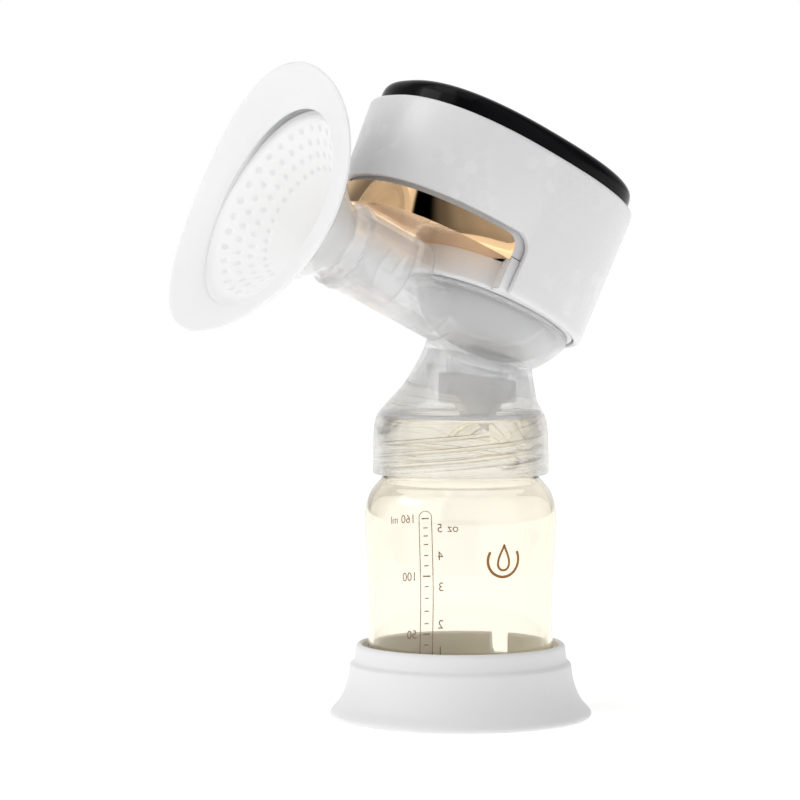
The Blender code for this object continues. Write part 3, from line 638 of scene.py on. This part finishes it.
def make_pump_body(look):
    fine = curve_through(NECK, 5)
    ceiling = neck_rings(1.6, fine[5:23])
    inside = [circle(r, z) for r, z in ((24.2, 103.2), (26.9, 103.2), (27.2, 100.2), (28.2, 97.5),
                                        (28.2, 82.8), (28.5, 82.35))]
    outside = [circle(r, z) for r, z in profile(
        [(29.5, 82.3), (29.8, 82.8)],
        [(29.8, 82.8), (29.7, 90.0), (29.5, 96.0), (29.1, 99.4), (28.3, 102.0)])]
    body = solid("pump_body_clear", skin(ceiling[::-1] + inside + outside + neck_rings(0.0, fine)))

    bowl = profile([(4.0, -16.2), (12.0, -13.9), (17.5, -11.0), (21.7, -7.7), (24.8, -4.3),
                    (27.6, 0.2), (28.4, 1.8)], [(28.4, 1.8), (28.6, 2.6), (28.6, 3.4)])
    hollow = profile([(3.6, -14.4), (11.2, -12.2), (16.5, -9.5), (20.5, -6.4), (23.4, -3.3),
                      (26.0, 0.8), (26.8, 2.4)], [(26.8, 2.4), (26.8, 6.5)])
    lip = profile([(14.2, -49.3), (14.6, -48.9), (14.7, -48.2), (14.5, -47.4), (14.0, -46.6)],
                  [(14.0, -46.6), (14.0, -6.0)])
    tube = solid("tube", turned(lip, segments=96), ALONG)
    step = combine(tube, solid("step", box((-22.9, -20, 2.8), (20, 20, 30)), HEAD))
    settle(tube, [step])
    bore = solid("bore", turned([(12.4, z) for z in (-52.0, -9.0)], segments=96), ALONG)
    step = combine(bore, solid("bore_step", box((-21.3, -20, 1.0), (20, 20, 30)), HEAD))
    settle(bore, [step])
    outlet = Matrix.Translation((VALVE_X, 0, 0))
    tools = [solid("bowl_outside", turned(bowl), BOWL), tube,
             solid("spigot", rod(10.6, 107.4, 124.5), outlet)]
    for tool in tools:
        combine(body, tool, "UNION")
    holes = [solid("bowl_inside", turned(hollow), BOWL), bore,
             solid("outlet", rod(9.0, 105.0, 123.0), outlet)]
    for hole in holes:
        combine(body, hole)
    phase = math.pi / STARTS + 2 * math.pi * (CAP_THREAD_Z - BOTTLE_THREAD_Z) / LEAD
    ridges = thread("skirt_ridges", 28.6, 27.0, CAP_THREAD_Z, math.radians(215), phase)
    combine(body, ridges, "UNION")
    settle(body, tools + holes + [ridges])
    finished(body, "pump_body", ["pump_body", "threaded_collar"], look, 38)


def make_seal(look):
    points = profile([(24.6, 101.7), (26.2, 101.7), (26.7, 102.3), (26.2, 102.9), (24.6, 102.9),
                      (24.2, 102.3)], steps=3)
    seal = solid("seal_ring", turned(points, closed=True, segments=96))
    finished(seal, "seal", ["neck_seal"], look)


def make_duckbill(look):
    """Round at the top, where its rim leans with the neck, and pinched to two lips at the bottom."""
    count = 64

    def lips(long, wide, z):
        turns = [2 * math.pi * i / count for i in range(count)]
        return [(VALVE_X + wide * math.cos(turn), long * math.sin(turn), z) for turn in turns]

    def rim(radius, z):
        return circle(radius, z, VALVE_X, lean=math.radians(8), segments=count)

    rings = [rim(11.2, 114.4), rim(10.9, 114.0),
             lips(10.9, 10.9, 107.2), lips(7.4, 7.4, 106.9), lips(7.2, 4.6, 103.0), lips(6.9, 2.2, 99.0),
             lips(6.6, 0.25, 95.8), lips(7.4, 0.95, 95.5), lips(7.9, 3.2, 99.0), lips(8.3, 5.8, 103.0),
             lips(8.4, 8.4, 105.8), lips(12.8, 12.8, 106.1), lips(13.2, 13.2, 106.6),
             rim(13.2, 114.2), rim(12.9, 114.6)]
    valve = solid("duckbill", skin(rings, closed=True))
    finished(valve, "valve", ["duckbill_valve"], look)


def make_diaphragm(look):
    low = 3.7
    under = [(3.0, -10.2), (8.0, -9.6), (14.0, -8.2), (18.6, -5.8), (22.0, -2.6), (24.4, 1.2),
             (25.2, low)]
    rim = [(25.2, low), (28.6, low), (28.6, low + 1.0), (26.0, low + 1.0)]
    over = [(26.0, low + 1.0), (23.0, 0.6), (20.8, -2.2), (17.6, -4.9), (13.4, -7.0), (8.0, -8.3),
            (3.0, -8.8)]
    cup = solid("diaphragm_cup", turned(profile(under, *zip(rim, rim[1:]), over)), BOWL)
    finished(cup, "pump_body", ["diaphragm"], look)


# ---------------------------------------------------------------- shield and cushion
def make_shield(look):
    out = profile([(12.1, -29.6), (12.1, -49.6)], [(12.1, -49.6), (14.2, -49.6)],
                  [(14.2, -49.6), (14.6, -50.0), (14.6, -51.6), (14.2, -52.4), (13.4, -53.2), (13.3, -54.6),
                   (13.7, -56.6), (16.3, -60.6), (21.9, -66.2), (29.0, -72.6), (34.2, -76.8)],
                  [(34.2, -76.8), (35.7, -77.7), (36.2, -78.6)])
    back = profile([(34.5, -78.6), (33.0, -77.2), (27.9, -73.3), (20.9, -67.2), (15.2, -61.4), (12.3, -56.6),
                    (10.9, -53.6), (10.7, -51.0)], [(10.7, -51.0), (10.7, -29.6)])
    shield = solid("shield_clear", turned(out + back, closed=True), ALONG)
    finished(shield, "shield", ["breast_shield"], look)


# Rows of dimples, from the outside in: radius of the row, radius of a dimple, first angle.
DIMPLES = ((29.9, 1.40, 7.0), (26.4, 1.28, 1.4), (22.95, 1.15, 7.0), (19.6, 1.02, 1.4))
DIMPLE_STEP, DIMPLE_DEPTH = 11.25, 0.45
BRIM_START, BRIM_END = 35.0, 49.3
CUSHION_SIDES = 512
BRIM_SHADE = 2.2                # how strongly painted shade darkens the wall between liner and brim at its top


def bend_brim(vert):
    """Top and bottom of the brim reach forward, the top further, and it hangs a little low."""
    radius = math.hypot(vert.co.x, vert.co.y)
    share = (radius - BRIM_START) / (BRIM_END - BRIM_START)
    up = -vert.co.x / radius
    vert.co.z -= (2.0 + 5.0 * share) * up ** 2 + (1.0 + 1.6 * share) * up
    vert.co.x += 1.25 + 0.25 * share + 1.85 * share * up
    vert.co.y *= 1 + 0.9 * share / radius


def make_cushion(look):
    """The soft brim and its liner, with four rows of dimples."""
    liner = profile([(9.0, -53.4), (9.2, -54.6), (9.9, -56.9), (13.5, -61.9), (19.3, -68.0), (26.3, -74.4),
                     (31.2, -78.2), (33.0, -79.2), (34.3, -79.6)], [(34.3, -79.6), (34.9, -79.8)], steps=12)
    brim = profile([(35.0, -80.0), (35.15, -80.5), (35.7, -80.8), (37.0, -81.1), (40.0, -81.7),
                    (44.5, -82.7)],
                   [(44.5, -82.7), (47.8, -83.6), (48.8, -83.7), (49.3, -83.3), (49.2, -82.8), (48.6, -82.4),
                    (44.0, -81.0), (39.3, -79.5)])
    back = profile([(38.4, -78.4), (37.8, -77.6), (37.2, -77.3), (36.6, -77.4)],
                   [(36.6, -77.4), (36.6, -78.95)], [(36.6, -78.95), (34.1, -78.95)],
                   [(34.1, -78.95), (32.6, -77.3), (27.5, -73.7), (20.5, -67.5), (14.8, -61.7),
                    (11.9, -56.9), (10.3, -53.4)])
    built = turned(liner + brim + back, closed=True, segments=CUSHION_SIDES)
    built.verts.ensure_lookup_table()
    brim_from = len(liner) * CUSHION_SIDES
    brim_to = brim_from + len(brim) * CUSHION_SIDES
    # Per vertex: the dimple's depth, which also sets its painted shade, and the painted shade on the wall
    # under the brim.
    dips_and_shade = {}
    for index, vert in enumerate(built.verts[:brim_from]):
        radius = math.hypot(vert.co.x, vert.co.y)
        dips_and_shade[index] = dimple(radius, math.degrees(math.atan2(-vert.co.x, vert.co.y)) % 360)
        vert.co.z += DIMPLE_DEPTH * dips_and_shade[index]
    # Painted shade: the wall between the liner and the brim darkens towards its top, where the brim's lip
    # shades it.
    for index in range(brim_from - CUSHION_SIDES, brim_from + CUSHION_SIDES):
        point = built.verts[index].co
        dips_and_shade[index] = BRIM_SHADE * max(0.0, -point.x / math.hypot(point.x, point.y))
    for vert in built.verts[brim_from:brim_to]:
        bend_brim(vert)
    cushion = solid("cushion_soft", built, ALONG)
    # The colour attribute below paints shade into the dimples and onto the wall under the brim.
    painted_shade = cushion.data.color_attributes.new("painted_shade", "FLOAT_COLOR", "POINT")
    for index, dip_and_shade in dips_and_shade.items():
        painted_shade.data[index].color = (dip_and_shade, dip_and_shade, dip_and_shade, 1)
    finished(cushion, "cushion", ["massage_cushion"], look, 60)


def dimple(radius, phi):
    """How deep the liner dips at this place, from 0 to 1."""
    deepest = 0.0
    for row, size, start in DIMPLES:
        if abs(radius - row) > size + 0.3:
            continue
        aside = (phi - start + DIMPLE_STEP / 2) % DIMPLE_STEP - DIMPLE_STEP / 2
        away = math.hypot(math.radians(aside) * row, (radius - row) * 1.25)
        deepest = max(deepest, 1 - smoothstep((away / size - 0.62) / 0.5))
    return deepest


# ---------------------------------------------------------------- motor unit
UNIT_TOP, UNIT_BOTTOM = 53.1, 4.7
# The unit's outline is a superellipse: each value at the top, and how it changes down to the bottom.
UNIT_CENTRE, UNIT_LENGTH, UNIT_WIDTH = (-7.7, 1.3), (48.5, -1.0), (37.0, -2.0)
UNIT_POWER = 2.5
DENSE = 1440                    # points of the outline before it is divided evenly


def plan(inset, z, count=192):
    """The motor unit's outline at a height, in points equally far apart."""
    low = (UNIT_TOP - z) / (UNIT_TOP - UNIT_BOTTOM)
    centre, length, width = (top + change * low for top, change in (UNIT_CENTRE, UNIT_LENGTH, UNIT_WIDTH))
    length, width, power = length - inset, width - inset, 2 / UNIT_POWER
    dense = []
    for i in range(DENSE):
        c, s = math.cos(2 * math.pi * i / DENSE), math.sin(2 * math.pi * i / DENSE)
        dense.append((centre + length * math.copysign(abs(c) ** power, c),
                      width * math.copysign(abs(s) ** power, s)))
    spans = [math.dist(a, b) for a, b in zip(dense, dense[1:] + dense[:1])]
    step, ring, walked, k = sum(spans) / count, [], 0.0, 0
    for i in range(count):
        while walked + spans[k] < i * step:
            walked += spans[k]
            k += 1
        share = (i * step - walked) / spans[k]
        (x0, y0), (x1, y1) = dense[k], dense[(k + 1) % DENSE]
        ring.append((x0 + (x1 - x0) * share, y0 + (y1 - y0) * share, z))
    return ring


def side_slot(x0, x1, z0, z1, corner, low_corner=0.01):
    """A slot through the unit from its shield side, with rounded corners at the far end."""
    steps = 10
    outline = [(x0, z0)]
    for i in range(steps + 1):
        angle = math.pi / 2 * (i / steps - 1)
        outline.append((x1 - low_corner + low_corner * math.cos(angle),
                        z0 + low_corner + low_corner * math.sin(angle)))
    for i in range(steps + 1):
        angle = math.pi / 2 * i / steps
        outline.append((x1 - corner + corner * math.cos(angle), z1 - corner + corner * math.sin(angle)))
    outline.append((x0, z1))
    return skin([[(x, y, z) for x, z in outline] for y in (-60.0, 60.0)])


def cell_map(obj):
    """UVs in honeycomb cells: round the casing, and up it."""
    pitch, around, count, search = 4.13, 68, 720, 60
    layer = obj.data.uv_layers.new(name="cells")
    ring = [Vector(p[:2]) for p in plan(0.0, 28.0, count)]
    where = {}
    for loop in obj.data.loops:
        index = loop.vertex_index
        if index not in where:
            x, y, z = obj.data.vertices[index].co / MM
            angle = math.atan2(y / 36.0, (x + 7.0) / 48.0)
            guess = int(angle / (2 * math.pi) * count) % count
            best = min(range(guess - search, guess + search),
                       key=lambda k: (ring[k % count] - Vector((x, y))).length_squared)
            where[index] = (best % count / count * around, z / pitch)
    for polygon in obj.data.polygons:
        places = [where[obj.data.loops[i].vertex_index] for i in polygon.loop_indices]
        wide = max(u for u, _ in places) - min(u for u, _ in places) > around / 2
        for i, (u, v) in zip(polygon.loop_indices, places):
            layer.data[i].uv = (u + around if wide and u < around / 2 else u, v)


def make_housing(look):
    levels = profile([(0.0, 7.4), (0.0, 51.4)],
                     [(0.0, 51.4), (0.12, 52.2), (0.45, 52.75), (0.95, 53.05), (1.5, 53.1), (2.0, 52.95),
                      (2.2, 52.6)],
                     [(2.2, 52.6), (2.2, 50.9)], [(2.2, 50.9), (4.0, 50.9)], [(4.0, 50.9), (4.0, 49.7)],
                     [(4.0, 49.7), (2.2, 47.8)], [(2.2, 47.8), (2.2, 5.4)],
                     [(2.2, 5.4), (1.95, 4.9), (1.5, 4.7), (0.95, 4.8), (0.4, 5.4), (0.1, 6.3),
                      (0.0, 7.4)], steps=3)
    shell = solid("casing", skin([plan(inset, z) for inset, z in levels[:-1]], closed=True))
    tools = [combine(shell, solid("recess", side_slot(-90.0, -5.0, -5.0, 24.3, 6.0)))]
    port = Matrix.Translation((30.0, 0, 44.4)) @ Matrix.Rotation(math.pi / 2, 4, "Y")
    socket = rounded_box((-2.0, -4.9, 0.0), (2.0, 4.9, 20.0), 1.9)
    tools.append(combine(shell, solid("socket", socket, port)))
    bevel(shell, 1.05, 4)
    settle(shell, tools)
    cell_map(shell)
    tilt(shell)
    finished(shell, "motor_unit", ["housing_shell"], look)


def make_trim(look):
    trim = solid("trim_band", skin([plan(1.0, 14.7), plan(1.0, 22.5)]))
    tools = [combine(trim, solid("trim_inside", skin([plan(2.5, 16.3), plan(2.5, 26.5)])))]
    ring = turned([(29.8, 0.0), (29.8, 40.0)])
    tools.append(combine(trim, solid("trim_hole", ring, Matrix.Translation((BOWL_X, 0, 0)))))
    slot = side_slot(-90.0, -9.8, 14.8, 22.5, 4.4, low_corner=0.6)
    tools.append(combine(trim, solid("trim_slot", slot), "INTERSECT"))
    bevel(trim, 0.7, 4, 50)
    settle(trim, tools)
    tilt(trim)
    finished(trim, "motor_unit", ["gold_trim"], look)


def reach_to(outline, start, ray):
    """How far a ray runs from start to the outline."""
    best = 0.0
    for a, b in zip(outline, outline[1:] + outline[:1]):
        edge = b - a
        across = ray.x * edge.y - ray.y * edge.x
        if abs(across) < 1e-9:
            continue
        offset = a - start
        along = (offset.x * edge.y - offset.y * edge.x) / across
        share = (offset.x * ray.y - offset.y * ray.x) / across
        if along > 0 and -1e-6 <= share <= 1 + 1e-6:
            best = max(best, along)
    return best


def cover_ring(radius, inset, z, cheek_z=None):
    """Round the bowl on the shield's side, and along the casing behind x = -BOWL_X."""
    outline = [Vector(p[:2]) for p in plan(inset, z, 96)]
    segments = 192
    ring = []
    for i in range(segments):
        angle = 2 * math.pi * (i + 0.5) / segments
        ray = Vector((math.cos(angle), math.sin(angle)))
        reach = reach_to(outline, Vector((BOWL_X, 0.0)), ray)
        back = smoothstep((BOWL_X + reach * ray.x + BOWL_X + 1.2) / 2.4)
        away = min(radius, reach) * (1 - back) + reach * back
        height = z if cheek_z is None else z + (cheek_z - z) * back
        ring.append((BOWL_X + away * ray.x, away * ray.y, height))
    return ring


def make_cover(look):
    cheek = 16.3
    rings = [cover_ring(31.0, 3.6, 5.0), cover_ring(31.6, 3.0, 5.15), cover_ring(31.9, 2.7, 5.5),
             cover_ring(32.0, 2.6, 6.0), cover_ring(32.0, 2.6, 14.4, cheek - 0.4),
             cover_ring(31.8, 2.8, 14.8, cheek), cover_ring(30.4, 4.2, 14.8, cheek),
             cover_ring(30.4, 4.2, 7.4)]
    cover = solid("skirt", skin(rings))
    screws = ((-4.3, -14.1), (-4.3, 14.1), (23.9, -14.1), (23.9, 14.1))
    holes = [rod(1.5, 0.0, 20.0, x, y, 24) for x, y in screws]
    holes.append(rod(1.9, 0.0, 20.0, 8.0, 14.0, 24))          # the air's way to the diaphragm
    pockets = [rod(2.8, 0.0, 6.6, x, y, 32) for x, y in screws]
    tools = [combine(cover, solid("holes", merge(holes))), combine(cover, solid("pockets", merge(pockets)))]
    settle(cover, tools)
    tilt(cover)
    finished(cover, "motor_unit", ["bottom_cover"], look)


KEYS = {"power_key": (25.0, 0.0), "mode_key": (0.0, 0.0), "plus_key": (12.5, -11.0),
        "minus_key": (12.5, 11.0)}


def make_lid(look):
    edge = 2.5
    outer = profile([(0.0, 51.2), (0.0, 56.0)],
                    [(0.0, 56.0), (0.1, 57.2), (0.5, 58.6), (1.4, 59.8), (3.2, 60.7), (6.0, 61.15),
                     (12.0, 61.4), (20.0, 61.5), (28.0, 61.5)], steps=4)
    hollow = [(28.0, 59.7), (8.0, 59.5), (3.8, 58.9), (2.1, 57.4), (1.8, 51.2)]
    lid = solid("panel", skin([plan(edge + inset, z) for inset, z in hollow + outer]))
    holes = merge([rod(4.8, 40.0, 70.0, x, y, 48) for x, y in KEYS.values()])
    tools = [combine(lid, solid("key_holes", holes))]
    bevel(lid, 0.25, 2, 50)
    settle(lid, tools)
    tilt(lid)
    finished(lid, "motor_unit", ["top_panel"], look, 14)


def make_keys(look, lit):
    for node, (x, y) in KEYS.items():
        cap = profile([(1.6, 51.5), (1.6, 54.6)], [(1.6, 54.6), (5.9, 54.8)], [(5.9, 54.8), (5.9, 55.8)],
                      [(5.9, 55.8), (4.5, 55.9)], [(4.5, 55.9), (4.5, 61.2)],
                      [(4.5, 61.2), (4.35, 61.55), (4.0, 61.7), (2.0, 61.6), (0.2, 61.55)], steps=3)
        key = solid(node + "_cap", turned(cap, segments=48), HEAD @ Matrix.Translation((x, y, 0)))
        finished(key, node, [node], look)
        symbol = solid(node + "_symbol", key_symbol(node), HEAD @ Matrix.Translation((x, y, 61.58)))
        finished(symbol, node, None, lit, 20)


def key_symbol(node):
    """A generic sign: a power ring, a wave, a plus or a minus."""
    line, thick = 0.35, 0.12
    if node == "power_key":
        ring = ribbon(arc_of(1.9, 35, 326, 10), line, thick)
        return merge([ring, plate(0.6, 2.3, -0.18, 0.18, thick)])
    if node == "mode_key":
        return ribbon([(0.8 * math.sin(i / 2), -2.2 + i * 0.22) for i in range(21)], line, thick)
    bar = plate(-0.2, 0.2, -1.9, 1.9, thick)
    if node == "minus_key":
        return bar
    return merge([bar] + [plate(x0, x1, -0.2, 0.2, thick) for x0, x1 in ((-1.9, -0.3), (0.3, 1.9))])


# ---------------------------------------------------------------- inner pieces keep their CAD shape
def finish_inner_pieces():
    looks = {"main_board": circuit_board(),
             "keypad_mat": simple("grey_rubber", (0.30, 0.31, 0.33), 0.65),
             "display_module": simple("display_grey", (0.12, 0.13, 0.15), 0.25),
             "battery": simple("battery_blue", (0.12, 0.24, 0.5), 0.4, 0.3, 150),
             "internal_frame": simple("tray_white", (0.75, 0.75, 0.76), 0.5),
             "pump_head": simple("pump_grey", (0.30, 0.31, 0.33), 0.55),
             "air_hose": simple("hose_silicone", (0.80, 0.80, 0.79), 0.5)}
    steel = simple("plated_steel", (0.60, 0.60, 0.62), 0.3, 1.0, 900)
    for name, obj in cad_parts.items():
        if obj.hide_render:
            continue
        look = looks.get(name, steel)
        obj.data.materials.clear()
        obj.data.materials.append(look)


# ---------------------------------------------------------------- light, floor, camera
# Brightness of the studio round the object (share of a turn, level) and from the floor up.
LIGHT_AROUND = ((0.0, 1.1), (0.045, 1.15), (0.090, 0.90), (0.105, 0.0), (0.160, 0.0), (0.20, 0.12),
                (0.25, 0.30), (0.30, 0.42), (0.345, 0.50), (0.385, 0.1), (0.43, 0.1), (0.46, 0.55),
                (0.66, 0.95), (0.76, 0.6), (0.82, 0.2), (0.865, 0.25), (0.89, 0.9), (1.0, 1.1))
LIGHT_UP = ((0.0, 0.85), (0.12, 1.0), (0.65, 1.0), (0.8, 1.3), (1.0, 1.3))


def make_world():
    """A plain white backdrop that lights and mirrors as a studio with dark gaps."""
    world = bpy.data.worlds.new("studio")
    bpy.context.scene.world = world
    world.use_nodes = True
    tree = world.node_tree
    tree.nodes.clear()

    def calc(operation, a, b, c=0.0):
        return add_node(tree, "Math", {0: a, 1: b, 2: c}, operation=operation).outputs[0]

    place = add_node(tree, "TexCoord").outputs["Generated"]
    x, y, z = add_node(tree, "SeparateXYZ", {0: place}).outputs
    share = calc("MULTIPLY_ADD", calc("ARCTAN2", y, x), 1 / (2 * math.pi), 0.5)
    light = calc("MULTIPLY", ramp(tree, share, LIGHT_AROUND), ramp(tree, z, LIGHT_UP))
    seen = add_node(tree, "LightPath").outputs["Is Camera Ray"]
    level = add_node(tree, "Mix", {0: seen, 2: light, 3: 1.0}).outputs[0]
    shade = add_node(tree, "Background", {"Color": level}).outputs[0]
    add_node(tree, "OutputWorld", {"Surface": shade})


def ramp(tree, value, stops):
    made = add_node(tree, "ValToRGB", {0: value})
    made.color_ramp.interpolation = "EASE"
    elements = made.color_ramp.elements
    elements.remove(elements[1])
    elements[0].position = stops[0][0]
    elements[0].color = (*[stops[0][1]] * 3, 1)
    for position, level in stops[1:]:
        element = elements.new(position)
        element.color = (level, level, level, 1)
    return made.outputs[0]


def area_light(name, place, aim, size, power, mirrored=True):
    """A soft lamp; one that isn't mirrored shows in no reflection and through no clear wall."""
    data = bpy.data.lights.new(name, "AREA")
    data.shape = "RECTANGLE"
    data.size, data.size_y = size
    data.energy = power
    lamp = bpy.data.objects.new(name, data)
    bpy.context.scene.collection.objects.link(lamp)
    lamp.location = place
    lamp.rotation_euler = (Vector(aim) - Vector(place)).to_track_quat("-Z", "Y").to_euler()
    lamp.visible_glossy = mirrored
    lamp.visible_transmission = mirrored


def make_floor():
    look = Look("floor", (0.92, 0.92, 0.92), 0.9, Emission_Color=(1, 1, 1, 1), Emission_Strength=0.41)
    built = bmesh.new()
    bmesh.ops.create_circle(built, cap_ends=True, segments=64, radius=6000)
    floor = solid("floor", built, Matrix.Translation((0, 0, -0.05)))
    floor.data.materials.append(look.material)


CAMERA_PLACE = (-0.60087, -0.98054, 0.1665)
CAMERA_TOWARDS = (0.50656, 0.86065, -0.05175)
CAMERA_LENS = 153.72


def make_camera():
    data = bpy.data.cameras.new("camera")
    data.lens = CAMERA_LENS
    data.clip_start, data.clip_end = 0.05, 50
    camera = bpy.data.objects.new("camera", data)
    bpy.context.scene.collection.objects.link(camera)
    camera.location = CAMERA_PLACE
    camera.rotation_euler = Vector(CAMERA_TOWARDS).to_track_quat("-Z", "Y").to_euler()
    bpy.context.scene.camera = camera


def main():
    milky = silicone("milky_silicone", (0.92, 0.92, 0.925), 0.35)
    black = gloss_black()
    make_stand(matte_white())
    make_bottle(amber_clear())
    make_print(printed_brown())
    make_seal(milky)
    make_pump_body(clear_plastic("clear_body", 0.03, 0.30, 0.30, 0.9))
    make_duckbill(milky)
    make_diaphragm(milky)
    make_shield(clear_plastic("clear_shield", 0.03, 0.25, 0.28, 0.95))
    make_cushion(cushion_silicone())
    make_housing(honeycomb_white())
    make_trim(mirror_gold())
    make_cover(satin_white())
    make_lid(black)
    make_keys(black, simple("symbol_grey", (0.55, 0.55, 0.56), 0.4))
    finish_inner_pieces()
    make_floor()
    make_world()
    area_light("top", (-0.5, -0.3, 1.8), (0, 0, 0.1), (1.6, 1.6), 5)
    area_light("side", (-1.4, 0.36, 1.08), (0, 0, 0.16), (1.0, 0.7), 4.6)
    area_light("fill", (0.6, -1.15, 0.14), (0, 0, 0.12), (1.2, 0.25), 2.0, mirrored=False)
    make_camera()
    bpy.context.scene.view_settings.view_transform = "Standard"


main()
